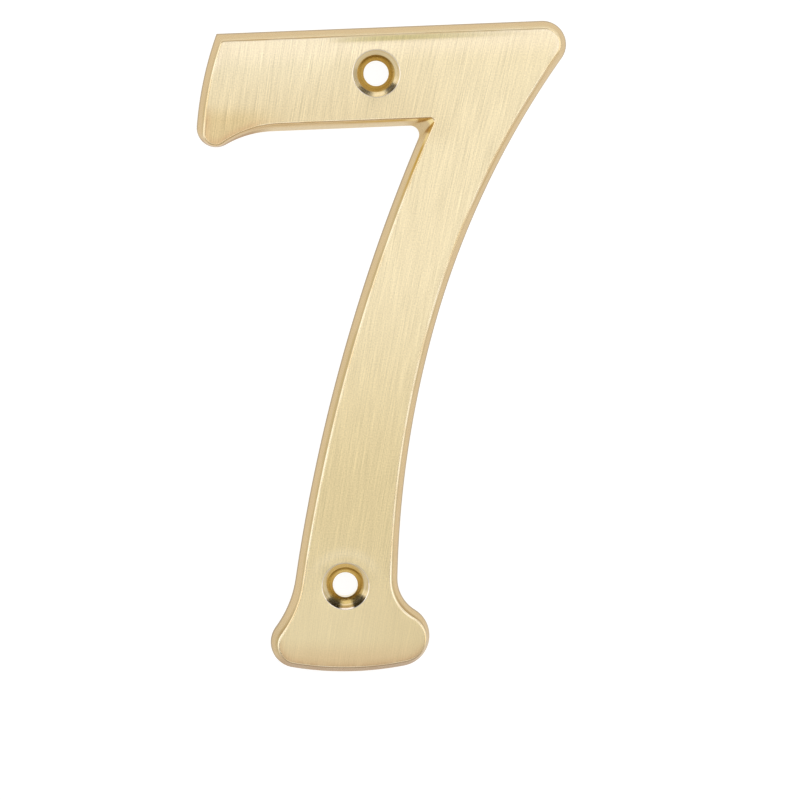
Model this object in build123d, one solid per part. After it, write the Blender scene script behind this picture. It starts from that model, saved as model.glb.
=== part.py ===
from build123d import *
from math import cos, radians, sin, sqrt, tan
import os

# House number seven: one solid brass figure with a flat back, walls that lean in towards a flat
# face, a rounded edge round that face, and two countersunk screw holes.
# Sizes are in millimetres and degrees. Heights start at the lowest point of the foot, and
# sideways places at the upright line through the lower screw hole.

# Whole figure
figure_height = 101.6
thickness = 4.76

# Wall: how far the face outline lies inside the back outline, all round and at two rounded ends
wall_inset = 1.14
lobe_end_inset = 0.35
foot_end_inset = 0.70

# Lip round the face: the wall ends upright, and its edge is rounded over onto the face
lip_upright = 0.02
edge_round = 0.30

# Corners that are rounded less on the back than on the face, or more
top_left_radius = 0.20
top_left_face_radius = 0.65
inner_corner_radius = 1.40
inner_corner_face_radius = 0.65

# Foot
base_radius = 49.15
foot_left_flare = 3.45
foot_left_radius = 4.05
foot_right_flare = 5.05
foot_right_radius = 4.80
left_shoulder_radius = 16.85
right_shoulder_radius = 5.80

# Stem: its right edge starts upright at the ankle and runs in two arcs, its left edge in one
ankle_width = 16.35
ankle_height = 11.5
stem_lower_radius = 159.5
stem_lower_turn = 15.65
stem_upper_radius = 134.5
stem_top_width = 15.10
stem_left_radius = 281.5
tip_radius = 3.65

# Bar: two parallel edges that climb to the right, and a rounded lobe that hangs from its left end
bar_slope = 2.3
bar_depth = 15.4
bar_reach = 31.6
left_side_lean = 19.8
left_side_radius = 55.45
lobe_radius = 3.0
lobe_hang = 2.15
lobe_root_radius = 15.45

# Screw holes
hole_diameter = 3.9
countersink_diameter = 7.35
countersink_angle = 76.0
rim_round = 0.20
lower_hole_height = 13.95
upper_hole_reach = 7.2
upper_hole_lift = 0.6


def right_of(one, reach_one, two, reach_two):
    """Point at given distances from two points, to the right of the way from the first to the second."""
    way = two - one
    step = (way.length**2 + reach_one**2 - reach_two**2) / (2 * way.length)
    ahead = way.normalized()
    aside = Vector(ahead.Y, -ahead.X)
    return one + ahead * step + aside * sqrt(reach_one**2 - step**2)


def on_line(start, ahead, centre, reach, sign):
    """Point of a line at a distance from a centre: the further one if sign is 1, the nearer if -1."""
    gap = centre - start
    step = gap.dot(ahead)
    return start + ahead * (step + sign * sqrt(reach**2 - gap.dot(gap) + step**2))


# Set-out of the stem's right edge, the tip and the lines of the bar
along_bar = Vector(cos(radians(bar_slope)), sin(radians(bar_slope)))
below_bar = Vector(along_bar.Y, -along_bar.X)
ankle_left = Vector(-ankle_width / 2, ankle_height)
ankle_right = Vector(ankle_width / 2, ankle_height)
lower_sweep = Vector(cos(radians(stem_lower_turn)), -sin(radians(stem_lower_turn)))
stem_lower = ankle_right + Vector(stem_lower_radius, 0)
stem_upper = stem_lower - lower_sweep * (stem_lower_radius - stem_upper_radius)
tip_height = figure_height - tip_radius
tip = on_line(Vector(0, tip_height), Vector(1, 0), stem_upper, stem_upper_radius + tip_radius, -1)
top_edge = tip - below_bar * tip_radius
bar_underside = top_edge + below_bar * bar_depth

# Set-out of the inner corner, the stem's left edge and the bar's left side
stem_right_point = on_line(bar_underside, along_bar, stem_upper, stem_upper_radius, -1)
inner_corner = stem_right_point - along_bar * stem_top_width
stem_left = right_of(ankle_left, stem_left_radius, inner_corner, stem_left_radius)
bar_end = inner_corner - along_bar * bar_reach
bar_corner = bar_end - below_bar * bar_depth
left_sweep = Vector(cos(radians(left_side_lean)), -sin(radians(left_side_lean)))
left_side = bar_corner + left_sweep * left_side_radius
base = Vector(0, base_radius)

# Screw holes, and the middle between them, which becomes the origin
lower_hole = Vector(0, lower_hole_height)
bar_middle = inner_corner - below_bar * (bar_depth / 2 + upper_hole_lift)
upper_hole = bar_middle - along_bar * upper_hole_reach
origin = (lower_hole + upper_hole) * 0.5


def foot_end(reach, radius):
    """Centre of a rounded end of the foot, inside the base arc, at a sideways reach."""
    centre_reach = reach - radius
    drop = sqrt((base_radius - radius) ** 2 - centre_reach**2)
    return centre_reach, base_radius - drop


def outline(inset, lobe_inset, end_inset, top_left_round, corner_round):
    """Outline of the figure, moved inwards by an inset, with its own insets at two rounded ends."""
    top_line = top_edge + below_bar * inset
    under_line = bar_underside - below_bar * inset
    top_left_line = top_line + below_bar * top_left_round
    top_left = on_line(top_left_line, along_bar, left_side, left_side_radius - inset - top_left_round, -1)
    left_reach, left_height = foot_end(ankle_width / 2 + foot_left_flare, foot_left_radius)
    foot_left = Vector(-left_reach, left_height)
    right_reach = ankle_width / 2 + foot_right_flare + inset - end_inset
    foot_right = Vector(*foot_end(right_reach, foot_right_radius))
    lobe_height = bar_end.Y - lobe_hang + lobe_radius - inset + lobe_inset
    lobe_level = Vector(0, lobe_height)
    lobe = on_line(lobe_level, Vector(1, 0), left_side, left_side_radius - lobe_radius, -1)
    root_line = bar_underside + below_bar * lobe_root_radius
    lobe_root = on_line(root_line, along_bar, lobe, lobe_radius + lobe_root_radius, 1)
    corner_line = under_line + below_bar * corner_round
    corner = on_line(corner_line, along_bar, stem_left, stem_left_radius + corner_round - inset, -1)
    left_shoulder = right_of(
        stem_left, stem_left_radius + left_shoulder_radius, foot_left, foot_left_radius + left_shoulder_radius
    )
    right_shoulder = right_of(
        stem_lower, stem_lower_radius - right_shoulder_radius, foot_right, foot_right_radius + right_shoulder_radius
    )

    # Anticlockwise from the top left corner: arc centres with radii, positive where the outline
    # bulges outwards, and the two straight edges of the bar with no radius
    stretches = [
        (top_left, top_left_round),
        (left_side, left_side_radius - inset),
        (lobe, lobe_radius - inset),
        (lobe_root, -lobe_root_radius - inset),
        (under_line, None),
        (corner, -corner_round),
        (stem_left, stem_left_radius - inset),
        (left_shoulder, -left_shoulder_radius - inset),
        (foot_left, foot_left_radius - inset),
        (base, base_radius - inset),
        (foot_right, foot_right_radius - inset),
        (right_shoulder, -right_shoulder_radius - inset),
        (stem_lower, -stem_lower_radius - inset),
        (stem_upper, -stem_upper_radius - inset),
        (tip, tip_radius - inset),
        (top_line, None),
    ]
    joints = []
    for (last_place, last_radius), (place, radius) in zip(stretches[-1:] + stretches[:-1], stretches):
        if last_radius is None:
            joints.append(last_place + along_bar * (place - last_place).dot(along_bar))
        elif radius is None:
            joints.append(place + along_bar * (last_place - place).dot(along_bar))
        else:
            joints.append((place * last_radius - last_place * radius) * (1 / (last_radius - radius)))
    edges = []
    for (place, radius), start, end in zip(stretches, joints, joints[1:] + joints[:1]):
        if radius is None:
            edges.append(Line(start, end))
        else:
            edges.append(RadiusArc(start, end, -radius))
    return Pos(-origin.X, -origin.Y) * make_face(Curve() + edges)


def face_outline(outset):
    """Outline of the flat face, moved outwards by an even outset."""
    return outline(
        wall_inset - outset,
        lobe_end_inset - outset,
        foot_end_inset - outset,
        top_left_face_radius + outset,
        inner_corner_face_radius - outset,
    )


def screw_hole(place):
    """Cutter for one screw hole: a bore from the back and a cone that opens to the face."""
    bore = hole_diameter / 2
    rim = countersink_diameter / 2
    cone_depth = (rim - bore) / tan(radians(countersink_angle / 2))
    profile = Polyline(
        (0, -thickness),
        (bore, -thickness),
        (bore, thickness - cone_depth),
        (rim, thickness),
        (rim, 2 * thickness),
        (0, 2 * thickness),
        close=True,
    )
    turned = revolve(Plane.XZ * make_face(profile), Axis.Z)
    return Plane.XZ * Pos(place.X - origin.X, place.Y - origin.Y) * turned


def figure():
    """The figure: a leaning wall, a lip with a rounded edge, and two screw holes with rounded rims."""
    lip_height = lip_upright + edge_round
    lip_outset = lip_height * wall_inset / thickness
    back = Plane.XZ * outline(0, 0, 0, top_left_radius, inner_corner_radius)
    rim = Plane.XZ.offset(thickness - lip_height) * face_outline(lip_outset)
    wall = loft([back, rim], ruled=True)
    lip = extrude(rim, lip_height)
    front = lip.faces().sort_by(Axis.Y)[0]
    body = wall + fillet(front.edges(), edge_round)
    bored = body - screw_hole(lower_hole) - screw_hole(upper_hole)
    face = bored.faces().sort_by(Axis.Y)[0]
    rims = [edge for wire in face.inner_wires() for edge in wire.edges()]
    return fillet(rims, rim_round)


figure_seven = figure()
os.makedirs("parts", exist_ok=True)
export_step(figure_seven, "parts/figure_seven.step")
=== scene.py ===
import logging
from cmath import phase, rect
from dataclasses import dataclass
from enum import IntEnum
from functools import cached_property
from itertools import accumulate
from math import ceil, cos, pi, radians, sin, sqrt, tan

import bmesh
import bpy
from mathutils import Matrix, Vector


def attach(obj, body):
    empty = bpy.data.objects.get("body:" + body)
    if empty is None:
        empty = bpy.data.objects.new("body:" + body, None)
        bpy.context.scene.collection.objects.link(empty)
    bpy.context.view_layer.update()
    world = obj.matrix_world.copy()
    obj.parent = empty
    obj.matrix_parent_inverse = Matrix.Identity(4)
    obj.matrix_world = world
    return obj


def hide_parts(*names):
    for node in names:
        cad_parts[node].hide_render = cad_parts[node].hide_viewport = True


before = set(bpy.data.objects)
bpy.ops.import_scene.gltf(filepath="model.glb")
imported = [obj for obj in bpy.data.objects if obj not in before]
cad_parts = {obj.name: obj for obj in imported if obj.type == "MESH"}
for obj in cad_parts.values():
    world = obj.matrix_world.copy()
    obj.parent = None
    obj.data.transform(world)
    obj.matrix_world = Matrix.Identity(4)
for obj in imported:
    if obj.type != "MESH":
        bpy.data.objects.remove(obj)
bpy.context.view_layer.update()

# House number seven in solid brass, dressed for the photograph's view.
# The figure's own sizes are in millimetres, all other lengths in metres. A point of the figure's
# plane is a complex number: its real part is the place sideways and its imaginary part the
# height. Depth counts from the back to the face.

LOG = logging.getLogger("house_number")
MILLIMETRE = 0.001
Pair = tuple[float, float]
Place = tuple[float, float, float]
Colour = tuple[float, float, float]
# Where a change starts and ends and, unless they are 0 and 1, the values there
Fade = tuple[float, ...]
# Depth of a finish's fine relief, and how much of it shows
Relief = tuple[float, float]
Socket = bpy.types.NodeSocket
Number = Socket | float
Paint = Socket | Colour
Inputs = dict[str | int, Number | Paint]
Material = bpy.types.Material
Piece = bpy.types.Object
Mesh = bmesh.types.BMesh
Edge = bmesh.types.BMEdge


class Zone(IntEnum):
    """The zones of the figure, in the order of its material slots."""

    FACE = 0
    EDGE = 1
    WALL = 2
    SINK = 3
    BACK = 4


def right_of(one: complex, reach_one: float, two: complex, reach_two: float) -> complex:
    """Finds the point at given distances from two points.

    Args:
        one: The first point.
        reach_one: Distance from the first point.
        two: The second point.
        reach_two: Distance from the second point.

    Returns:
        The one of the two such points that lies to the right of the way from one to two.
    """
    way = two - one
    step = (abs(way) ** 2 + reach_one**2 - reach_two**2) / (2 * abs(way))
    aside = sqrt(reach_one**2 - step**2)
    return one + way / abs(way) * complex(step, -aside)


def on_line(start: complex, ahead: complex, centre: complex, reach: float, side: int) -> complex:
    """Point of a line at a distance from a centre: the further one if side is 1, the nearer if -1."""
    gap = (centre - start) / ahead
    return start + ahead * (gap.real + side * sqrt(reach**2 - gap.imag**2))


def foot_on_line(start: complex, ahead: complex, centre: complex) -> complex:
    """Point of a line that lies nearest to a centre."""
    return start + ahead * ((centre - start) / ahead).real


@dataclass(frozen=True)
class Stretch:
    """One stretch of an outline: an arc, or a straight edge of the bar where the radius is zero.

    Attributes:
        place: The arc's centre, or a point of the straight edge.
        radius: The arc's radius, positive where the outline bulges outwards.
    """

    place: complex
    radius: float = 0.0

    def sweep(self, start: complex, end: complex) -> float:
        """Angle that the arc turns from one point to another, positive if anticlockwise."""
        turn = phase((end - self.place) / (start - self.place))
        if self.radius > 0:
            return turn % (2 * pi)
        return -(-turn % (2 * pi))


@dataclass(frozen=True)
class Ring:
    """One outline of the figure between its back and the inside of its face.

    Attributes:
        stretches: The outline's stretches.
        depth: Depth at which it lies.
        zone: Zone of the band that leads up to it.
        edge_share: How near it lies to the face's edge, from 0 well inside to 1.
    """

    stretches: list[Stretch]
    depth: float
    zone: Zone
    edge_share: float = 1.0


@dataclass(frozen=True)
class Roll:
    """A strip along the bar's top edge where polishing has rolled the face off.

    Attributes:
        left: Where the strip starts, sideways.
        right: Where it ends.
        skew: Power that moves its deepest place towards its start.
        width: How far it reaches down the face.
        drop: How far the face's edge is polished down at most.
        fall: Power by which the drop fades down the face.
        shade_cutoff: How sharply its painted shade ends.
    """

    left: float = -5.5
    right: float = 28.5
    skew: float = 0.62
    width: float = 0.85
    drop: float = 0.13
    fall: float = 1.4
    shade_cutoff: float = 4.0

    def share(self, sideways: float) -> float:
        """Strength of the roll-off at a place sideways, from 0 to 1."""
        along = (sideways - self.left) / (self.right - self.left)
        if not 0 < along < 1:
            return 0.0
        return sin(pi * along**self.skew)

    def rest(self, inside: float) -> float:
        """Share of the strip's width that is left at a distance inside the face's top edge."""
        return max(1 - max(inside, 0) / self.width, 0)

    def lowered(self, sideways: float, inside: float) -> float:
        """How far the face is lowered at a place sideways and a distance inside its top edge."""
        return self.drop * self.share(sideways) * self.rest(inside) ** self.fall

    def shade_share(self, sideways: float, inside: float) -> float:
        """Share of the painted shade at a place sideways and a distance inside the top edge."""
        return self.share(sideways) ** 2 * min(self.shade_cutoff * self.rest(inside), 1)


class Sketch:
    """A material's node tree, with short calls for the nodes that the finishes use."""

    def __init__(self, name: str) -> None:
        """Starts a material.

        Args:
            name: The material's name.
        """
        self.material = bpy.data.materials.new(name)
        self.material.use_nodes = True
        self.tree = self.material.node_tree
        self.shader = self.tree.nodes["Principled BSDF"]

    def feed(self, node: bpy.types.Node, inputs: Inputs) -> None:
        """Gives a node its inputs.

        Args:
            node: The node.
            inputs: The socket that each input is linked to, or the colour or number that it is set to.
        """
        for name, value in inputs.items():
            if isinstance(value, Socket):
                self.tree.links.new(value, node.inputs[name])
            elif isinstance(value, tuple):
                node.inputs[name].default_value = (*value, 1.0)
            else:
                node.inputs[name].default_value = value

    def node(self, kind: str, inputs: Inputs, **settings: object) -> bpy.types.Node:
        """Adds a node.

        Args:
            kind: The node's type, without the first part that all types share.
            inputs: Its inputs.
            settings: Its properties.

        Returns:
            The node.
        """
        made = self.tree.nodes.new("ShaderNode" + kind)
        for name, value in settings.items():
            setattr(made, name, value)
        self.feed(made, inputs)
        return made

    def split(self, vector: Socket) -> list[Socket]:
        """Splits a vector into its three parts."""
        return list(self.node("SeparateXYZ", {"Vector": vector}).outputs)

    @cached_property
    def places(self) -> list[Socket]:
        """The three object coordinates: sideways, in depth and in height."""
        return self.split(self.node("TexCoord", {}).outputs["Object"])

    def facing(self) -> Socket:
        """How far the surface faces up, from -1 to 1."""
        return self.split(self.node("NewGeometry", {}).outputs["Normal"])[2]

    def attribute(self, name: str) -> Socket:
        """Reads a number stored on the mesh."""
        return self.node("Attribute", {}, attribute_name=name).outputs["Fac"]

    def sum(self, operation: str, *values: Number, clamp: bool = False) -> Socket:
        """Works out a sum of the Math node, kept from 0 to 1 where clamp is set."""
        made = self.node("Math", dict(enumerate(values)), operation=operation, use_clamp=clamp)
        return made.outputs["Value"]

    def times(self, first: Socket, *others: Number) -> Socket:
        """Multiplies values."""
        for other in others:
            first = self.sum("MULTIPLY", first, other)
        return first

    def centred(self, pattern: Socket) -> Socket:
        """Turns a pattern from 0 to 1 into one from -1 to 1."""
        return self.sum("MULTIPLY_ADD", pattern, 2.0, -1.0)

    def vector(self, x: Number, y: Number, z: Number = 0.0) -> Socket:
        """Joins three numbers into a vector."""
        return self.node("CombineXYZ", {0: x, 1: y, 2: z}).outputs["Vector"]

    def noise(self, place: Socket, scale: float, detail: float = 2.0) -> Socket:
        """Adds a noise pattern.

        Args:
            place: Where it is read.
            scale: Waves in a metre, or in the place's own unit.
            detail: How many finer layers it has.

        Returns:
            The pattern's value, from 0 to 1.
        """
        inputs = {"Vector": place, "Scale": scale, "Detail": detail}
        return self.node("TexNoise", inputs).outputs["Fac"]

    def fade(self, value: Socket, limits: Fade) -> Socket:
        """Lets a number fade with a smooth step.

        Args:
            value: What it depends on.
            limits: Where the step starts and ends and, unless they are 0 and 1, the results there.

        Returns:
            The number.
        """
        inputs = dict(enumerate((value, *limits)))
        return self.node("MapRange", inputs, interpolation_type="SMOOTHSTEP").outputs["Result"]

    def mix(self, share: Socket, one: Paint, two: Paint) -> Socket:
        """Mixes two colours, with a share of the second one."""
        return self.node("Mix", {"Factor": share, 6: one, 7: two}, data_type="RGBA").outputs[2]

    def blend(self, value: Socket, limits: Fade, one: Paint, two: Paint) -> Socket:
        """Lets one colour fade into another."""
        return self.mix(self.fade(value, limits), one, two)

    def scaled(self, colour: Socket, factor: Socket) -> Socket:
        """Makes a colour lighter or darker by a factor."""
        inputs = {"Vector": colour, "Scale": factor}
        return self.node("VectorMath", inputs, operation="SCALE").outputs["Vector"]

    def reach(self, centre: Pair) -> Socket:
        """Measures the distance from an axis through the face.

        Args:
            centre: Place of the axis, sideways and in height.

        Returns:
            The distance.
        """
        x, _, z = self.places
        ends = {0: self.vector(x, 0.0, z), 1: self.vector(centre[0], 0.0, centre[1])}
        return self.node("VectorMath", ends, operation="DISTANCE").outputs["Value"]

    def metal(self, colour: Socket, roughness: Socket, pattern: Socket, relief: Relief) -> Material:
        """Finishes the material as a metal.

        Args:
            colour: Its colour.
            roughness: Its roughness.
            pattern: Pattern of its fine relief, from 0 to 1.
            relief: Depth and strength of that relief.

        Returns:
            The material.
        """
        depth, strength = relief
        bump = self.node("Bump", {"Height": pattern, "Distance": depth, "Strength": strength})
        self.feed(self.shader, {"Base Color": colour, "Roughness": roughness, "Metallic": 1.0})
        self.feed(self.shader, {"Normal": bump.outputs["Normal"]})
        return self.material


@dataclass(frozen=True)
class BrushedFinish:
    """Satin face, brushed up and down with fine strokes that lean to the right.

    Colours and fades are named after the places that they belong to. Several of them paint light and shade
    into the colour, as their notes say.

    Attributes:
        lower_hole: Place of the lower hole's axis, sideways and in height.
        top_edge: Colour of the painted highlight next to the top edge and, weaker, below it.
        edge_blotches: Colour of the browner blotches near the edges of the lobe and the foot.
        rolled: Colour of the painted shade on the strip rolled off along the top edge.
        halo: Radius of the ring of painted light above the lower hole.
        blotch_falloff: Power by which those blotches fade inwards.
        lean: Slope of the strokes in the middle.
        fan: How much the slope grows with each metre to the right.
        stroke_depth: How much lighter and darker the strokes are.
        grain_depth: The same for the fine grain between them.
        stagger: How far neighbouring strokes are shifted against each other, in stroke lengths.
    """

    lower_hole: Pair
    upper: Colour = (0.832, 0.712, 0.465)
    # Painted highlight next to the top edge and, weaker, below it
    top_edge: Colour = (0.95, 0.815, 0.59)
    # Painted light: the bar's left part is paler
    bar_left_light: Colour = (0.865, 0.757, 0.525)
    # Painted shade low on the bar, left of the stem
    bar_low_shade: Colour = (0.757, 0.63, 0.393)
    lobe: Colour = (0.69, 0.54, 0.295)
    # Painted shade: darker low on the stem, lighter again on the foot, darker towards the foot's right end
    stem_low_shade: Colour = (0.752, 0.620, 0.352)
    foot: Colour = (0.837, 0.704, 0.428)
    foot_right: Colour = (0.790, 0.650, 0.380)
    base: Colour = (0.76, 0.585, 0.335)
    # Browner blotches near the edges of the lobe and the foot
    edge_blotches: Colour = (0.64, 0.43, 0.23)
    # Painted shade on the strip rolled off along the top edge
    rolled: Colour = (0.725, 0.615, 0.315)
    stem_heights: Fade = (0.012, -0.026)
    bar_heights: Fade = (0.02, 0.03)
    bar_sides: Fade = (0.004, -0.012)
    bar_low_tops: Fade = (0.045, 0.032)
    bar_low_feet: Fade = (0.028, 0.031)
    bar_low_sides: Fade = (0.020, 0.004)
    foot_heights: Fade = (-0.029, -0.045)
    foot_sides: Fade = (-0.006, 0.010)
    base_heights: Fade = (-0.0475, -0.0515)
    lobe_heights: Fade = (0.0355, 0.0322)
    lobe_sides: Fade = (-0.010, -0.019)
    top_highlight_levels: Fade = (0.0405, 0.0425)
    below_top_highlight_levels: Fade = (0.0407, 0.0446, 0.0, 0.6)
    top_slope: float = 0.04
    # Painted light: a paler ring above the lower hole
    halo: float = 0.0051
    halo_rims: Pair = (0.003978, 0.00663)
    halo_share: float = 0.6
    blotch_scale: float = 420.0
    blotching: Fade = (0.30, 0.60, 0.25, 0.85)
    blotch_falloff: float = 1.6
    lean: float = 0.17
    fan: float = 2.2
    stroke_width: float = 0.00012
    stroke_length: float = 0.0070
    stroke_depth: float = 0.315
    stem_strokes: Fade = (0.0, 0.03, 0.83, 1.0)
    tip_strokes: Fade = (0.020, 0.028, 1.0, 0.65)
    foot_strokes: Fade = (-0.046, -0.036, 0.48, 1.0)
    stagger: float = 5.0
    stagger_scale: float = 0.7
    grain_size: float = 0.00024
    grain_depth: float = 0.18
    roughness: Fade = (0.25, 0.75, 0.42, 0.34)
    relief: Relief = (0.000008, 0.6)
    anisotropy: float = 0.5

    def strokes(self, sketch: Sketch) -> Socket:
        """Lays out the strokes.

        Args:
            sketch: The material's nodes.

        Returns:
            The strokes' pattern, from 0 to 1.
        """
        x, _, z = sketch.places
        slope = sketch.sum("MULTIPLY_ADD", x, self.fan, self.lean)
        across = sketch.sum("SUBTRACT", x, sketch.times(z, slope))
        row = sketch.sum("DIVIDE", across, self.stroke_width)
        shift = sketch.noise(sketch.vector(row, 0.0), self.stagger_scale, detail=1.0)
        length = sketch.sum("DIVIDE", z, self.stroke_length)
        along = sketch.sum("ADD", length, sketch.times(shift, self.stagger))
        return sketch.noise(sketch.vector(row, along), 1.0, detail=1.0)

    def tone(self, sketch: Sketch) -> Socket:
        """Lays out the broad colours of the face.

        Args:
            sketch: The material's nodes.

        Returns:
            The colour.
        """
        x, _, z = sketch.places
        blend, fade, mix, times = sketch.blend, sketch.fade, sketch.mix, sketch.times
        # Painted shade down the stem, easing on the foot and darker towards its right end
        stem = blend(z, self.stem_heights, self.upper, self.stem_low_shade)
        # Painted light: the bar gets paler to the left
        bar = blend(x, self.bar_sides, stem, self.bar_left_light)
        upper = blend(z, self.bar_heights, stem, bar)
        foot = blend(x, self.foot_sides, self.foot, self.foot_right)
        figure = blend(z, self.foot_heights, upper, foot)
        # Painted shade low on the bar, left of the stem
        low_heights = times(fade(z, self.bar_low_tops), fade(z, self.bar_low_feet))
        low_on_bar = times(low_heights, fade(x, self.bar_low_sides))
        shaded = mix(low_on_bar, figure, self.bar_low_shade)
        # Painted light: a paler ring above the lower hole
        reach = sketch.reach(self.lower_hole)
        inner, outer = (fade(reach, (rim, self.halo)) for rim in self.halo_rims)
        height = self.lower_hole[1]
        above = fade(z, (height, height + self.halo, 0.0, self.halo_share))
        haloed = mix(times(inner, outer, above), shaded, self.upper)
        edge = sketch.attribute("edge_share")
        # Painted highlight along the top edge and, weaker, below it
        level = sketch.sum("MULTIPLY_ADD", x, -self.top_slope, z)
        highlight_on_top_edge = times(edge, fade(level, self.top_highlight_levels))
        highlight_below_top = fade(level, self.below_top_highlight_levels)
        lit = mix(sketch.sum("MAXIMUM", highlight_on_top_edge, highlight_below_top), haloed, self.top_edge)
        at_lobe = times(fade(x, self.lobe_sides), fade(z, self.lobe_heights))
        at_base = fade(z, self.base_heights)
        based = mix(at_base, mix(at_lobe, lit, self.lobe), self.base)
        ends = sketch.sum("ADD", at_lobe, at_base, clamp=True)
        blotches = sketch.noise(sketch.vector(x, 0.0, z), self.blotch_scale)
        near_edge = sketch.sum("POWER", edge, self.blotch_falloff)
        edge_blotches = times(near_edge, ends, fade(blotches, self.blotching))
        blotched = mix(edge_blotches, based, self.edge_blotches)
        # Painted shade on the strip rolled off along the top edge
        return mix(sketch.attribute("roll_shade"), blotched, self.rolled)

    def material(self) -> Material:
        """Makes the material."""
        sketch = Sketch("brushed_brass")
        x, _, z = sketch.places
        strokes = self.strokes(sketch)
        grain = sketch.noise(sketch.vector(x, 0.0, z), 1 / self.grain_size, detail=1.0)
        weaker = sketch.times(sketch.fade(z, self.stem_strokes), sketch.fade(x, self.tip_strokes))
        lines = sketch.times(sketch.centred(strokes), self.stroke_depth, weaker)
        specks = sketch.times(sketch.centred(grain), self.grain_depth)
        pattern = sketch.sum("ADD", lines, specks)
        shade = sketch.sum("MULTIPLY_ADD", pattern, sketch.fade(z, self.foot_strokes), 1.0)
        across = sketch.vector(1.0, 0.0, 0.0)
        sketch.feed(sketch.shader, {"Anisotropic": self.anisotropy, "Tangent": across})
        colour = sketch.scaled(self.tone(sketch), shade)
        return sketch.metal(colour, sketch.fade(strokes, self.roughness), strokes, self.relief)


@dataclass(frozen=True)
class EdgeFinish:
    """Polished rounding between the face and the wall.

    It carries painted shade where it faces down and where it faces up on the left part of the bar.

    Attributes:
        base: Colour of the painted shade on the edge of the foot's base.
        upwards: Fade of the painted shade over how far the edge faces up.
    """

    clean: Colour = (0.95, 0.83, 0.60)
    worn: Colour = (0.84, 0.66, 0.38)
    # Painted shade where the edge faces down, and where it faces up on the bar's left part
    tarnish_and_shade: Colour = (0.70, 0.48, 0.23)
    # Painted shade on the edge of the foot's base
    base: Colour = (0.46, 0.31, 0.17)
    patch_scale: float = 160.0
    patching: Fade = (0.35, 0.65)
    roughness: Fade = (0.35, 0.65, 0.26, 0.16)
    upwards: Fade = (0.15, 0.45, 0.0, 0.65)
    downwards: Fade = (-0.15, -0.55)
    top_heights: Fade = (0.040, 0.043)
    top_sides: Fade = (0.0, -0.006)
    base_heights: Fade = (-0.0475, -0.0500)
    dent_scale: float = 2500.0
    relief: Relief = (0.000002, 0.4)

    def material(self) -> Material:
        """Makes the material."""
        sketch = Sketch("polished_edge")
        x, _, z = sketch.places
        place = sketch.vector(*sketch.places)
        patches = sketch.noise(place, self.patch_scale, detail=3.0)
        clean = sketch.blend(patches, self.patching, self.worn, self.clean)
        # Painted shade where the edge faces down and, on the bar's left part, where it faces up
        facing = sketch.facing()
        on_bar = sketch.times(sketch.fade(z, self.top_heights), sketch.fade(x, self.top_sides))
        on_top = sketch.times(sketch.fade(facing, self.upwards), on_bar)
        edge_shade = sketch.sum("ADD", sketch.fade(facing, self.downwards), on_top, clamp=True)
        tarnish_and_shade = sketch.blend(z, self.base_heights, self.tarnish_and_shade, self.base)
        colour = sketch.mix(edge_shade, clean, tarnish_and_shade)
        dents = sketch.noise(place, self.dent_scale)
        return sketch.metal(colour, sketch.fade(patches, self.roughness), dents, self.relief)


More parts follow.
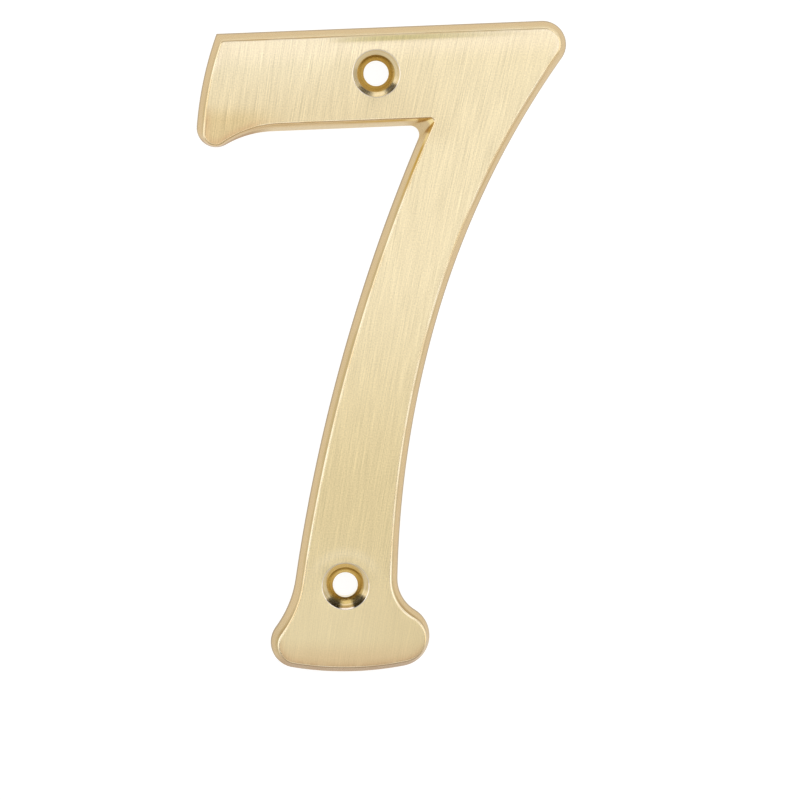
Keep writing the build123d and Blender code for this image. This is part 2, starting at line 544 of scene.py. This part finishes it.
@dataclass(frozen=True)
class WallFinish:
    """Buffed wall: tan in the middle, with painted shade that makes it browner at the face and greyer at
    the back.

    Fades that end in shares go by the share of the wall's height, from the back to its rim.

    Attributes:
        corner: Place of the figure's inner corner, sideways and in height.
        gold: Colour of the painted reflection next to the rounded edge on both sides of the inner corner.
        glint: The same painted reflection in the corner itself, where the walls mirror each other.
        nook_shade: Colour of the painted shade in the corner below that.
        grazing: Tint of what it reflects when it is seen at a low angle.
        depth: Height of the wall, from the back.
        waving: Fade of the rim's waves over their pattern, in shares.
        upwards: Fade to the painted light and shade of the rims that face up, over how far the wall faces
            up.
        grain_stretch: How much shorter the buffing marks are across the wall.
    """

    corner: Pair
    # Painted shade on the rim next to the face; painted light where it faces up on the bar, painted shade
    # where it faces down or up lower down
    rim: Colour = (0.53, 0.43, 0.235)
    lit_upper_rim: Colour = (0.74, 0.65, 0.45)
    shaded_lower_rim: Colour = (0.53, 0.38, 0.20)
    shaded_shoulder_rim: Colour = (0.38, 0.26, 0.12)
    middle: Colour = (0.68, 0.555, 0.37)
    # Painted shade at the back of the wall
    back: Colour = (0.36, 0.30, 0.25)
    # Painted reflection of the pale wall behind, low on the underside walls
    lower_back_reflection: Colour = (0.75, 0.665, 0.53)
    # Painted shade at the foot's base and under the lobe's end
    base: Colour = (0.34, 0.18, 0.07)
    # Painted reflection of one wall in the other round the inner corner, with painted shade in the corner
    # below
    gold: Colour = (0.53, 0.32, 0.03)
    glint: Colour = (0.88, 0.72, 0.36)
    nook_shade: Colour = (0.61, 0.47, 0.27)
    grazing: Colour = (0.86, 0.74, 0.55)
    depth: float = 0.00444
    wave_scale: float = 110.0
    waving: Fade = (0.3, 0.7, -0.12, 0.12)
    upwards: Fade = (0.2, 0.7)
    downwards: Fade = (-0.3, -0.8)
    bar_heights: Fade = (0.0, 0.03)
    rim_shares: Fade = (0.62, 0.97)
    back_shares: Fade = (0.02, 0.24)
    lower_back_shares: Fade = (0.30, 0.75)
    lobe_sides: Fade = (-0.013, -0.018)
    nook_reaches: Fade = (0.0035, 0.0015)
    glint_reaches: Fade = (0.0038, 0.0018)
    gold_reaches: Fade = (0.016, 0.005)
    gold_shares: Fade = (0.64, 0.84)
    foot_shading: Fade = (-0.043, -0.049, 1.0, 0.90)
    base_heights: Fade = (-0.0505, -0.0522)
    grain_scale: float = 600.0
    grain_stretch: float = 5.0
    roughness: Fade = (0.3, 0.7, 0.20, 0.30)
    relief: Relief = (0.000003, 0.4)

    def tone(self, sketch: Sketch) -> Socket:
        """Lays out the wall's colours, with their painted light, shade and reflections.

        Args:
            sketch: The material's nodes.

        Returns:
            The colour.
        """
        x, y, z = sketch.places
        blend, fade, mix, times = sketch.blend, sketch.fade, sketch.mix, sketch.times
        facing = sketch.facing()
        share = sketch.sum("DIVIDE", y, -self.depth)
        waves = sketch.noise(sketch.vector(x, 0.0, z), self.wave_scale)
        waved = sketch.sum("ADD", share, fade(waves, self.waving))
        # Painted light and shade by how far the wall faces up or down, and painted shade and reflection by
        # depth
        under = fade(facing, self.downwards)
        lit_upper_rim = blend(z, self.bar_heights, self.shaded_shoulder_rim, self.lit_upper_rim)
        rim = blend(facing, self.upwards, mix(under, self.rim, self.shaded_lower_rim), lit_upper_rim)
        side = blend(share, self.back_shares, self.back, self.middle)
        lower_back_reflection = blend(x, self.lobe_sides, self.lower_back_reflection, self.base)
        underside = blend(share, self.lower_back_shares, lower_back_reflection, self.middle)
        wall = blend(waved, self.rim_shares, mix(under, side, underside), rim)
        # Painted reflection round the inner corner and painted shade in its nook
        reach = sketch.reach(self.corner)
        cornered = blend(reach, self.nook_reaches, wall, self.nook_shade)
        gold = blend(reach, self.glint_reaches, self.gold, self.glint)
        reflection_share = times(fade(reach, self.gold_reaches), fade(share, self.gold_shares))
        reflected = mix(reflection_share, cornered, gold)
        # Painted shade near the foot's base
        based = blend(z, self.base_heights, reflected, self.base)
        return sketch.scaled(based, fade(z, self.foot_shading))

    def material(self) -> Material:
        """Makes the material."""
        sketch = Sketch("buffed_wall")
        x, y, z = sketch.places
        stretched = sketch.vector(x, sketch.times(y, self.grain_stretch), z)
        grain = sketch.noise(stretched, self.grain_scale, detail=3.0)
        sketch.feed(sketch.shader, {"Specular Tint": self.grazing})
        return sketch.metal(self.tone(sketch), sketch.fade(grain, self.roughness), grain, self.relief)


@dataclass(frozen=True)
class SinkFinish:
    """Countersinks and bores: polished near the rims, and further in as the tool left them.

    Attributes:
        centres: Places of the lower and the upper hole's axis, sideways and in height.
        turned: Colour of the part that keeps its tool marks.
        ring_shade: Colour of the painted shade high in that part's outermost ring.
        turned_rough: How much rougher that part is.
    """

    centres: tuple[Pair, Pair]
    polished: Colour = (0.98, 0.92, 0.86)
    polished_rings: Colour = (0.94, 0.87, 0.80)
    turned: Colour = (0.88, 0.77, 0.51)
    turned_rings: Colour = (0.72, 0.60, 0.34)
    # Painted shade high in the turned part's outermost ring
    ring_shade: Colour = (0.40, 0.29, 0.11)
    polish: float = 0.06
    turned_rough: float = 0.065
    turned_reaches: Fade = (0.002927, 0.002813)
    ring_shade_reaches: Fade = (0.002411, 0.00264)
    ring_shade_heights: Fade = (0.0004, 0.0024)
    pitch: float = 0.00018
    ringing: Fade = (0.3, 0.7)
    relief: Relief = (0.0000015, 0.5)

    def material(self) -> Material:
        """Makes the material."""
        sketch = Sketch("turned_countersink")
        _, y, z = sketch.places
        reach = sketch.sum("MINIMUM", *(sketch.reach(centre) for centre in self.centres))
        rings = sketch.noise(sketch.vector(reach, y), 1 / self.pitch)
        fine = sketch.fade(rings, self.ringing)
        polished = sketch.mix(fine, self.polished_rings, self.polished)
        turned = sketch.mix(fine, self.turned_rings, self.turned)
        # Painted shade on the upper side of each hole's turned ring
        lower, upper = (centre[1] for centre in self.centres)
        axis = sketch.sum("MULTIPLY_ADD", sketch.sum("GREATER_THAN", z, 0.0), upper - lower, lower)
        high = sketch.fade(sketch.sum("SUBTRACT", z, axis), self.ring_shade_heights)
        ring_shading = sketch.times(high, sketch.fade(reach, self.ring_shade_reaches))
        inside = sketch.fade(reach, self.turned_reaches)
        colour = sketch.mix(inside, polished, sketch.mix(ring_shading, turned, self.ring_shade))
        roughness = sketch.sum("MULTIPLY_ADD", inside, self.turned_rough, self.polish)
        return sketch.metal(colour, roughness, rings, self.relief)


@dataclass(frozen=True)
class BackFinish:
    """Plain back, ground flat and left dull, with oxidised spots and long scratches."""

    ground: Colour = (0.70, 0.55, 0.32)
    tarnish_and_shade: Colour = (0.58, 0.43, 0.24)
    spot_scale: float = 70.0
    spotting: Fade = (0.35, 0.70)
    scratch_scale: float = 4000.0
    scratch_stretch: float = 0.06
    roughness: Fade = (0.3, 0.7, 0.36, 0.50)
    relief: Relief = (0.000006, 0.6)

    def material(self) -> Material:
        """Makes the material."""
        sketch = Sketch("ground_back")
        x, _, z = sketch.places
        spots = sketch.noise(sketch.vector(x, 0.0, z), self.spot_scale, detail=4.0)
        stretched = sketch.vector(sketch.times(x, self.scratch_stretch), 0.0, z)
        scratches = sketch.noise(stretched, self.scratch_scale)
        colour = sketch.blend(spots, self.spotting, self.ground, self.tarnish_and_shade)
        return sketch.metal(colour, sketch.fade(scratches, self.roughness), scratches, self.relief)


@dataclass
class FigureSeven:
    """The figure: its sizes, its mesh and its finishes.

    The sizes are the part's own. The outline's heights start at the lowest point of the foot, and
    its sideways places at the upright line through the lower screw hole.

    Attributes:
        least_round: Smallest radius of the top left corner on the face.
        apron: How far the face's inner outlines lie inside its edge.
        tolerance: Distance below which points count as one.
        crease_angle: Angle from which an edge looks sharp, in degrees.
    """

    figure_height: float = 101.6
    thickness: float = 4.76
    wall_inset: float = 1.14
    lobe_end_inset: float = 0.35
    foot_end_inset: float = 0.7
    lip_upright: float = 0.02
    edge_round: float = 0.3
    top_left_radius: float = 0.2
    top_left_face_radius: float = 0.65
    inner_corner_radius: float = 1.4
    inner_corner_face_radius: float = 0.65
    base_radius: float = 49.15
    foot_left_flare: float = 3.45
    foot_left_radius: float = 4.05
    foot_right_flare: float = 5.05
    foot_right_radius: float = 4.8
    left_shoulder_radius: float = 16.85
    right_shoulder_radius: float = 5.8
    ankle_width: float = 16.35
    ankle_height: float = 11.5
    stem_lower_radius: float = 159.5
    stem_lower_turn: float = 15.65
    stem_upper_radius: float = 134.5
    stem_top_width: float = 15.1
    stem_left_radius: float = 281.5
    tip_radius: float = 3.65
    bar_slope: float = 2.3
    bar_depth: float = 15.4
    bar_reach: float = 31.6
    left_side_lean: float = 19.8
    left_side_radius: float = 55.45
    lobe_radius: float = 3.0
    lobe_hang: float = 2.15
    lobe_root_radius: float = 15.45
    hole_diameter: float = 3.9
    countersink_diameter: float = 7.35
    countersink_angle: float = 76.0
    rim_round: float = 0.2
    lower_hole_height: float = 13.95
    upper_hole_reach: float = 7.2
    upper_hole_lift: float = 0.6
    point_spacing: float = 0.4
    arc_steps: int = 10
    round_steps: int = 6
    rim_steps: int = 4
    hole_steps: int = 96
    least_round: float = 0.1
    apron: tuple[float, ...] = (0.3, 0.6, 0.9, 1.3)
    roll: Roll = Roll()
    tolerance: float = 0.002
    crease_angle: float = 32.0

    def __post_init__(self) -> None:
        """Sets out the lengths and points that all outlines share."""
        self.lip_height = self.lip_upright + self.edge_round
        self.along = rect(1, radians(self.bar_slope))
        self.below = self.along * -1j
        ankle_right = complex(self.ankle_width / 2, self.ankle_height)
        ankle_left = -ankle_right.conjugate()
        self.stem_lower = ankle_right + self.stem_lower_radius
        lower_sweep = rect(1, -radians(self.stem_lower_turn))
        self.stem_upper = self.stem_lower - lower_sweep * (self.stem_lower_radius - self.stem_upper_radius)
        tip_level = complex(0, self.figure_height - self.tip_radius)
        self.tip = on_line(tip_level, 1, self.stem_upper, self.stem_upper_radius + self.tip_radius, -1)
        self.top_edge = self.tip - self.below * self.tip_radius
        self.underside = self.top_edge + self.below * self.bar_depth
        stem_right = on_line(self.underside, self.along, self.stem_upper, self.stem_upper_radius, -1)
        self.inner_corner = stem_right - self.along * self.stem_top_width
        stem_radius = self.stem_left_radius
        self.stem_left = right_of(ankle_left, stem_radius, self.inner_corner, stem_radius)
        self.bar_end = self.inner_corner - self.along * self.bar_reach
        bar_corner = self.bar_end - self.below * self.bar_depth
        self.left_side = bar_corner + rect(self.left_side_radius, -radians(self.left_side_lean))
        self.base = complex(0, self.base_radius)
        lower_hole = complex(0, self.lower_hole_height)
        bar_middle = self.inner_corner - self.below * (self.bar_depth / 2 + self.upper_hole_lift)
        upper_hole = bar_middle - self.along * self.upper_hole_reach
        self.origin = (lower_hole + upper_hole) / 2
        self.holes = (lower_hole, upper_hole)

    def foot_end(self, reach: float, radius: float) -> complex:
        """Centre of a rounded end of the foot, inside the base arc, at a sideways reach."""
        centre_reach = reach - radius
        drop = sqrt((self.base_radius - radius) ** 2 - centre_reach**2)
        return complex(centre_reach, self.base_radius - drop)

    def outline(
        self, inset: float, lobe_inset: float, end_inset: float, top_left_round: float, corner_round: float
    ) -> list[Stretch]:
        """Sets out an outline, anticlockwise from the top left corner.

        Args:
            inset: How far it lies inside the back outline.
            lobe_inset: The same at the lobe's end.
            end_inset: The same at the foot's right end.
            top_left_round: Radius of its top left corner.
            corner_round: Radius of its inner corner.

        Returns:
            Its stretches.
        """
        top_line = self.top_edge + self.below * inset
        under_line = self.underside - self.below * inset
        top_left_line = top_line + self.below * top_left_round
        left_reach = self.left_side_radius - inset
        top_left = on_line(top_left_line, self.along, self.left_side, left_reach - top_left_round, -1)
        foot_reach = self.ankle_width / 2 + self.foot_left_flare
        foot_left = -self.foot_end(foot_reach, self.foot_left_radius).conjugate()
        right_reach = self.ankle_width / 2 + self.foot_right_flare + inset - end_inset
        foot_right = self.foot_end(right_reach, self.foot_right_radius)
        lobe_height = self.bar_end.imag - self.lobe_hang + self.lobe_radius - inset + lobe_inset
        lobe_reach = self.left_side_radius - self.lobe_radius
        lobe = on_line(complex(0, lobe_height), 1, self.left_side, lobe_reach, -1)
        root_line = self.underside + self.below * self.lobe_root_radius
        lobe_root = on_line(root_line, self.along, lobe, self.lobe_radius + self.lobe_root_radius, 1)
        corner_line = under_line + self.below * corner_round
        corner_reach = self.stem_left_radius + corner_round - inset
        corner = on_line(corner_line, self.along, self.stem_left, corner_reach, -1)
        left_shoulder = right_of(
            self.stem_left,
            self.stem_left_radius + self.left_shoulder_radius,
            foot_left,
            self.foot_left_radius + self.left_shoulder_radius,
        )
        right_shoulder = right_of(
            self.stem_lower,
            self.stem_lower_radius - self.right_shoulder_radius,
            foot_right,
            self.foot_right_radius + self.right_shoulder_radius,
        )
        return [
            Stretch(top_left, top_left_round),
            Stretch(self.left_side, left_reach),
            Stretch(lobe, self.lobe_radius - inset),
            Stretch(lobe_root, -self.lobe_root_radius - inset),
            Stretch(under_line),
            Stretch(corner, -corner_round),
            Stretch(self.stem_left, self.stem_left_radius - inset),
            Stretch(left_shoulder, -self.left_shoulder_radius - inset),
            Stretch(foot_left, self.foot_left_radius - inset),
            Stretch(self.base, self.base_radius - inset),
            Stretch(foot_right, self.foot_right_radius - inset),
            Stretch(right_shoulder, -self.right_shoulder_radius - inset),
            Stretch(self.stem_lower, -self.stem_lower_radius - inset),
            Stretch(self.stem_upper, -self.stem_upper_radius - inset),
            Stretch(self.tip, self.tip_radius - inset),
            Stretch(top_line),
        ]

    def face_outline(self, outset: float) -> list[Stretch]:
        """Sets out the face's outline, moved outwards by an even outset."""
        return self.outline(
            self.wall_inset - outset,
            self.lobe_end_inset - outset,
            self.foot_end_inset - outset,
            max(self.top_left_face_radius + outset, self.least_round),
            self.inner_corner_face_radius - outset,
        )

    def joints(self, stretches: list[Stretch]) -> list[complex]:
        """Finds the points at which an outline's stretches start.

        Args:
            stretches: The outline's stretches.

        Returns:
            One point for each stretch.
        """
        points = []
        for last, this in zip(stretches[-1:] + stretches[:-1], stretches):
            if not last.radius:
                points.append(foot_on_line(last.place, self.along, this.place))
            elif not this.radius:
                points.append(foot_on_line(this.place, self.along, last.place))
            else:
                across = this.place * last.radius - last.place * this.radius
                points.append(across / (last.radius - this.radius))
        return points

    def steps(self) -> list[int]:
        """Finds how many steps each stretch takes, from the back outline's lengths.

        Returns:
            One count for each stretch, the same for every outline.
        """
        stretches = self.back_outline()
        starts = self.joints(stretches)
        counts = []
        for stretch, start, end in zip(stretches, starts, starts[1:] + starts[:1]):
            if stretch.radius:
                length = abs(stretch.radius * stretch.sweep(start, end))
                counts.append(max(self.arc_steps, ceil(length / self.point_spacing)))
            else:
                counts.append(ceil(abs(end - start) / self.point_spacing))
        return counts

    def back_outline(self) -> list[Stretch]:
        """Sets out the outline of the flat back."""
        return self.outline(0, 0, 0, self.top_left_radius, self.inner_corner_radius)

    def point(self, place: complex, depth: float) -> Vector:
        """Turns a point of the plane and a depth into a point of the model."""
        shifted = place - self.origin
        return Vector((shifted.real, -depth, shifted.imag))

    def draw(self, bm: Mesh, ring: Ring) -> list[list[Edge]]:
        """Draws an outline by spinning and moving one vertex along it.

        Args:
            bm: The mesh.
            ring: The outline.

        Returns:
            The edges of each stretch.
        """
        pen = bmesh.new()
        starts = self.joints(ring.stretches)
        vert = pen.verts.new(self.point(starts[0], ring.depth))
        counts = self.steps()
        for stretch, count, start, end in zip(ring.stretches, counts, starts, starts[1:] + starts[:1]):
            straight = stretch.radius == 0
            stride = (self.point(end, 0) - self.point(start, 0)) / count
            drawn = bmesh.ops.spin(
                pen,
                geom=[vert],
                cent=self.point(stretch.place, ring.depth),
                axis=(0, -1, 0),
                dvec=stride if straight else (0, 0, 0),
                angle=0 if straight else stretch.sweep(start, end),
                steps=count,
            )
            vert = next(item for item in drawn["geom_last"] if isinstance(item, bmesh.types.BMVert))
            vert.co = self.point(end, ring.depth)
        layer = pen.verts.layers.float.new("edge_share")
        for vert in pen.verts:
            vert[layer] = ring.edge_share
        sheet = bpy.data.meshes.new("outline")
        pen.to_mesh(sheet)
        pen.free()
        known = len(bm.edges)
        bm.from_mesh(sheet)
        bpy.data.meshes.remove(sheet)
        bm.edges.ensure_lookup_table()
        ends = list(accumulate(counts, initial=known))
        return [bm.edges[first:last] for first, last in zip(ends, ends[1:])]

    def rings(self) -> list[Ring]:
        """Lists the outlines from the back to the inside of the face."""
        outset = self.lip_height * self.wall_inset / self.thickness
        found = [
            Ring(self.back_outline(), 0.0, Zone.BACK),
            Ring(self.face_outline(outset), self.thickness - self.lip_height, Zone.WALL),
        ]
        for step in range(1, self.round_steps + 1):
            angle = pi / 2 * step / self.round_steps
            inward = self.edge_round * (1 - cos(angle))
            depth = self.thickness - self.edge_round * (1 - sin(angle))
            found.append(Ring(self.face_outline(outset - inward), depth, Zone.EDGE))
        for reach in self.apron:
            inner = self.face_outline(outset - self.edge_round - reach)
            found.append(Ring(inner, self.thickness, Zone.FACE, 1 - reach / self.apron[-1]))
        return found

    def add_hole(self, bm: Mesh, place: complex) -> None:
        """Spins the profile of a countersunk screw hole.

        Args:
            bm: The mesh.
            place: The hole's centre.
        """
        bore = self.hole_diameter / 2
        rim = self.countersink_diameter / 2
        cone_depth = (rim - bore) / tan(radians(self.countersink_angle / 2))
        profile = ((bore, 0.0), (bore, self.thickness - cone_depth), (rim, self.thickness))
        verts = [bm.verts.new(self.point(place + reach, depth)) for reach, depth in profile]
        edges = [bm.edges.new(pair) for pair in zip(verts, verts[1:])]
        before = set(bm.faces)
        bmesh.ops.spin(
            bm,
            geom=verts + edges,
            cent=self.point(place, 0),
            axis=(0, -1, 0),
            angle=2 * pi,
            steps=self.hole_steps,
            use_merge=True,
        )
        for face in bm.faces:
            if face not in before:
                face.material_index = Zone.SINK

    def break_rims(self, bm: Mesh) -> None:
        """Rounds the countersinks' rims."""
        offset = self.rim_round * tan(radians(45 - self.countersink_angle / 4))
        sides = {Zone.FACE, Zone.SINK}
        rims = [edge for edge in bm.edges if {face.material_index for face in edge.link_faces} == sides]
        bmesh.ops.bevel(
            bm, geom=rims, offset=offset, segments=self.rim_steps, profile=0.5, affect="EDGES", material=-1
        )

    def roll_off(self, bm: Mesh) -> None:
        """Polishes the lip down along the bar's top edge."""
        rim_depth = self.thickness - self.lip_height
        flat_edge = self.top_edge + self.below * (self.wall_inset + self.edge_round)
        layer = bm.verts.layers.float.new("roll_shade")
        for vert in bm.verts:
            height = -vert.co.y - rim_depth
            if height < self.tolerance:
                continue
            place = complex(vert.co.x, vert.co.z) + self.origin
            inside = ((place - flat_edge) / self.below).real
            # Share of the painted shade on the rolled-off strip
            vert[layer] = self.roll.shade_share(vert.co.x, inside)
            vert.co.y += self.roll.lowered(vert.co.x, inside) * height / self.lip_height

    def build(self) -> Piece:
        """Models the figure.

        Returns:
            The finished piece.
        """
        bm = bmesh.new()
        bm.verts.layers.float.new("edge_share")
        below = []
        for ring in self.rings():
            above = self.draw(bm, ring)
            for chains in zip(below, above):
                band = bmesh.ops.bridge_loops(bm, edges=[edge for chain in chains for edge in chain])
                for face in band["faces"]:
                    face.material_index = ring.zone
            below = above
        for place in self.holes:
            self.add_hole(bm, place)
        bmesh.ops.remove_doubles(bm, verts=bm.verts, dist=self.tolerance)
        for depth, zone in ((0.0, Zone.BACK), (self.thickness, Zone.FACE)):
            open_edges = [edge for edge in bm.edges if edge.is_boundary]
            rims = [edge for edge in open_edges if abs(edge.verts[0].co.y + depth) < self.tolerance]
            filled = bmesh.ops.triangle_fill(bm, edges=rims, use_beauty=True)
            for item in filled["geom"]:
                if isinstance(item, bmesh.types.BMFace):
                    item.material_index = zone
        bmesh.ops.recalc_face_normals(bm, faces=bm.faces)
        self.break_rims(bm)
        self.roll_off(bm)
        bmesh.ops.scale(bm, vec=[MILLIMETRE] * 3, verts=bm.verts)
        mesh = bpy.data.meshes.new("figure_seven_brass")
        bm.to_mesh(mesh)
        bm.free()
        piece = bpy.data.objects.new("figure_seven_brass", mesh)
        bpy.context.scene.collection.objects.link(piece)
        mesh.shade_smooth()
        mesh.set_sharp_from_angle(angle=radians(self.crease_angle))
        weighted = piece.modifiers.new("even_shading", "WEIGHTED_NORMAL")
        weighted.keep_sharp = True
        return piece

    def axis(self, place: complex) -> Pair:
        """Turns a point of the plane into object coordinates, sideways and in height, in metres."""
        shifted = (place - self.origin) * MILLIMETRE
        return shifted.real, shifted.imag

    def dress(self, piece: Piece) -> None:
        """Gives the figure its finishes, body and material slot, in place of the plain solid."""
        lower_hole, upper_hole = (self.axis(hole) for hole in self.holes)
        finishes = {
            Zone.FACE: BrushedFinish(lower_hole),
            Zone.EDGE: EdgeFinish(),
            Zone.WALL: WallFinish(self.axis(self.inner_corner)),
            Zone.SINK: SinkFinish((lower_hole, upper_hole)),
            Zone.BACK: BackFinish(),
        }
        for zone in Zone:
            piece.data.materials.append(finishes[zone].material())
        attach(piece, "root")
        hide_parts("figure_seven")


def aimed(name: str, data: bpy.types.ID, place: Place, aim: Place) -> Piece:
    """Puts a light or a camera into the scene.

    Args:
        name: Its name.
        data: Its data.
        place: Where it stands.
        aim: The point that it faces.

    Returns:
        The object.
    """
    made = bpy.data.objects.new(name, data)
    made.location = place
    made.rotation_euler = (Vector(aim) - Vector(place)).to_track_quat("-Z", "Y").to_euler()
    bpy.context.scene.collection.objects.link(made)
    return made


@dataclass(frozen=True)
class SoftLight:
    """A soft light that faces the figure.

    Attributes:
        name: Its name.
        place: Where it stands.
        size: Its width and height.
        radiance: How bright its surface looks, where 1 is white.
    """

    name: str
    place: Place
    size: Pair
    radiance: float

    def build(self) -> None:
        """Sets up the light."""
        light = bpy.data.lights.new(self.name, "AREA")
        light.shape = "RECTANGLE"
        light.size, light.size_y = self.size
        light.energy = self.radiance * pi * self.size[0] * self.size[1]
        aimed(self.name, light, self.place, (0.0, 0.0, 0.0))


@dataclass
class Studio:
    """The stage: a pale wall behind the figure, a pale floor below, soft lights and the camera.

    Two dark cards lean in front of it, unseen by the camera, for the countersinks to mirror.

    Attributes:
        wall_gap: Distance from the figure's back to the wall.
        wall_glow: How much the wall shines for the camera and in reflections.
        card_aside: How far the cards stand to the left and to the right.
        card_lean: How far they lean outwards, in degrees.
    """

    wall_gap: float = 0.0002
    floor_height: float = -0.30
    reach: float = 4.0
    wall_paper: Colour = (0.25, 0.25, 0.25)
    floor_paper: Colour = (0.75, 0.75, 0.75)
    card_paper: Colour = (0.06, 0.045, 0.02)
    wall_glow: float = 0.88
    floor_glow: float = 0.15
    card_aside: float = 0.102
    card_shift: float = -0.0095
    card_ahead: float = 0.30
    card_below: float = 0.095
    card_size: Pair = (0.052, 0.120)
    card_lean: float = 45.0
    lights: tuple[SoftLight, ...] = (
        SoftLight("front_softbox", (0.0, -1.0, -0.06), (0.95, 0.40), 0.71),
        SoftLight("upper_softbox", (0.0, -0.94, 0.342), (1.4, 0.38), 0.22),
        SoftLight("lower_softbox", (0.0, -0.60, -0.29), (0.20, 0.16), 0.6),
        SoftLight("left_softbox", (-0.9, -0.45, 0.10), (0.7, 0.9), 0.95),
        SoftLight("right_softbox", (0.45, -0.55, 0.60), (0.4, 0.4), 1.0),
        SoftLight("right_fill", (0.82, -0.60, 0.0), (0.9, 0.9), 0.85),
    )
    air: float = 0.59
    eye: Place = (-0.01566, -0.67936, 0.03887)
    aim: Place = (0.00620, 0.0, -0.01108)
    field_of_view: float = 10.469

    def paper_material(self, shade: Colour, glow: float) -> Material:
        """Makes a stage paper that keeps the figure's shadow and is clear from behind.

        Args:
            shade: Colour of the paper.
            glow: How much it shines for the camera and in reflections.

        Returns:
            The material.
        """
        sketch = Sketch("stage_paper")
        path = sketch.node("LightPath", {}).outputs
        mirrored = sketch.sum("ADD", path["Is Glossy Ray"], path["Is Transmission Ray"])
        seen = sketch.sum("ADD", path["Is Camera Ray"], mirrored, clamp=True)
        diffuse = sketch.node("BsdfDiffuse", {"Color": shade}).outputs["BSDF"]
        shine = sketch.node("Emission", {"Strength": sketch.times(seen, glow)}).outputs["Emission"]
        lit = sketch.node("AddShader", {0: diffuse, 1: shine}).outputs["Shader"]
        clear = sketch.node("BsdfTransparent", {}).outputs["BSDF"]
        behind = sketch.node("NewGeometry", {}).outputs["Backfacing"]
        shown = sketch.node("MixShader", {0: behind, 1: lit, 2: clear}).outputs["Shader"]
        nodes = sketch.tree.nodes
        nodes.remove(sketch.shader)
        sketch.feed(nodes["Material Output"], {"Surface": shown})
        return sketch.material

    def sheet(self, name: str, turn: Matrix, centre: Vector, size: Pair, paper: Material) -> Piece:
        """Sets up one flat sheet of the stage.

        Args:
            name: The sheet's name.
            turn: How it is turned from lying flat, face up.
            centre: Where its middle is.
            size: Its width and length.
            paper: Its material.

        Returns:
            The sheet.
        """
        bm = bmesh.new()
        made = bmesh.ops.create_grid(bm, x_segments=1, y_segments=1, size=0.5)
        bmesh.ops.scale(bm, verts=made["verts"], vec=(*size, 1))
        bmesh.ops.rotate(bm, verts=made["verts"], matrix=turn)
        bmesh.ops.translate(bm, verts=made["verts"], vec=centre)
        mesh = bpy.data.meshes.new(name)
        bm.to_mesh(mesh)
        bm.free()
        sheet = bpy.data.objects.new(name, mesh)
        bpy.context.scene.collection.objects.link(sheet)
        mesh.materials.append(paper)
        return sheet

    def camera(self) -> None:
        """Sets up the camera at the photograph's place."""
        data = bpy.data.cameras.new("view")
        data.angle = radians(self.field_of_view)
        bpy.context.scene.camera = aimed("view", data, self.eye, self.aim)

    def build(self) -> None:
        """Builds the stage."""
        scene = bpy.context.scene
        scene.view_settings.view_transform = "Standard"
        scene.world = bpy.data.worlds.new("studio")
        scene.world.use_nodes = True
        air = scene.world.node_tree.nodes["Background"]
        air.inputs["Color"].default_value = (1.0, 1.0, 1.0, 1.0)
        air.inputs["Strength"].default_value = self.air
        white = self.paper_material(self.wall_paper, self.wall_glow)
        pale = self.paper_material(self.floor_paper, self.floor_glow)
        dark = self.paper_material(self.card_paper, 0.0)
        room = (self.reach, self.reach)
        upright = Matrix.Rotation(pi / 2, 3, "X")
        self.sheet("backdrop", upright, Vector((0, self.wall_gap, 0)), room, white)
        self.sheet("floor", Matrix.Identity(3), Vector((0, 0, self.floor_height)), room, pale)
        for name, side in (("left_card", -1), ("right_card", 1)):
            place = Vector((side * self.card_aside + self.card_shift, -self.card_ahead, -self.card_below))
            lean = Matrix.Rotation(side * radians(self.card_lean), 3, "Y")
            card = self.sheet(name, lean @ upright.inverted(), place, self.card_size, dark)
            card.visible_camera = False
        for light in self.lights:
            light.build()
        self.camera()


def main() -> None:
    """Builds the figure and its stage, and reports each piece."""
    logging.basicConfig(level=logging.INFO, format="%(name)s: %(message)s")
    figure = FigureSeven()
    piece = figure.build()
    figure.dress(piece)
    LOG.info("%s: %d faces", piece.name, len(piece.data.polygons))
    studio = Studio()
    studio.build()
    LOG.info("stage: backdrop, floor, two dark cards, %d lights and the camera", len(studio.lights))


if __name__ == "__main__":
    main()
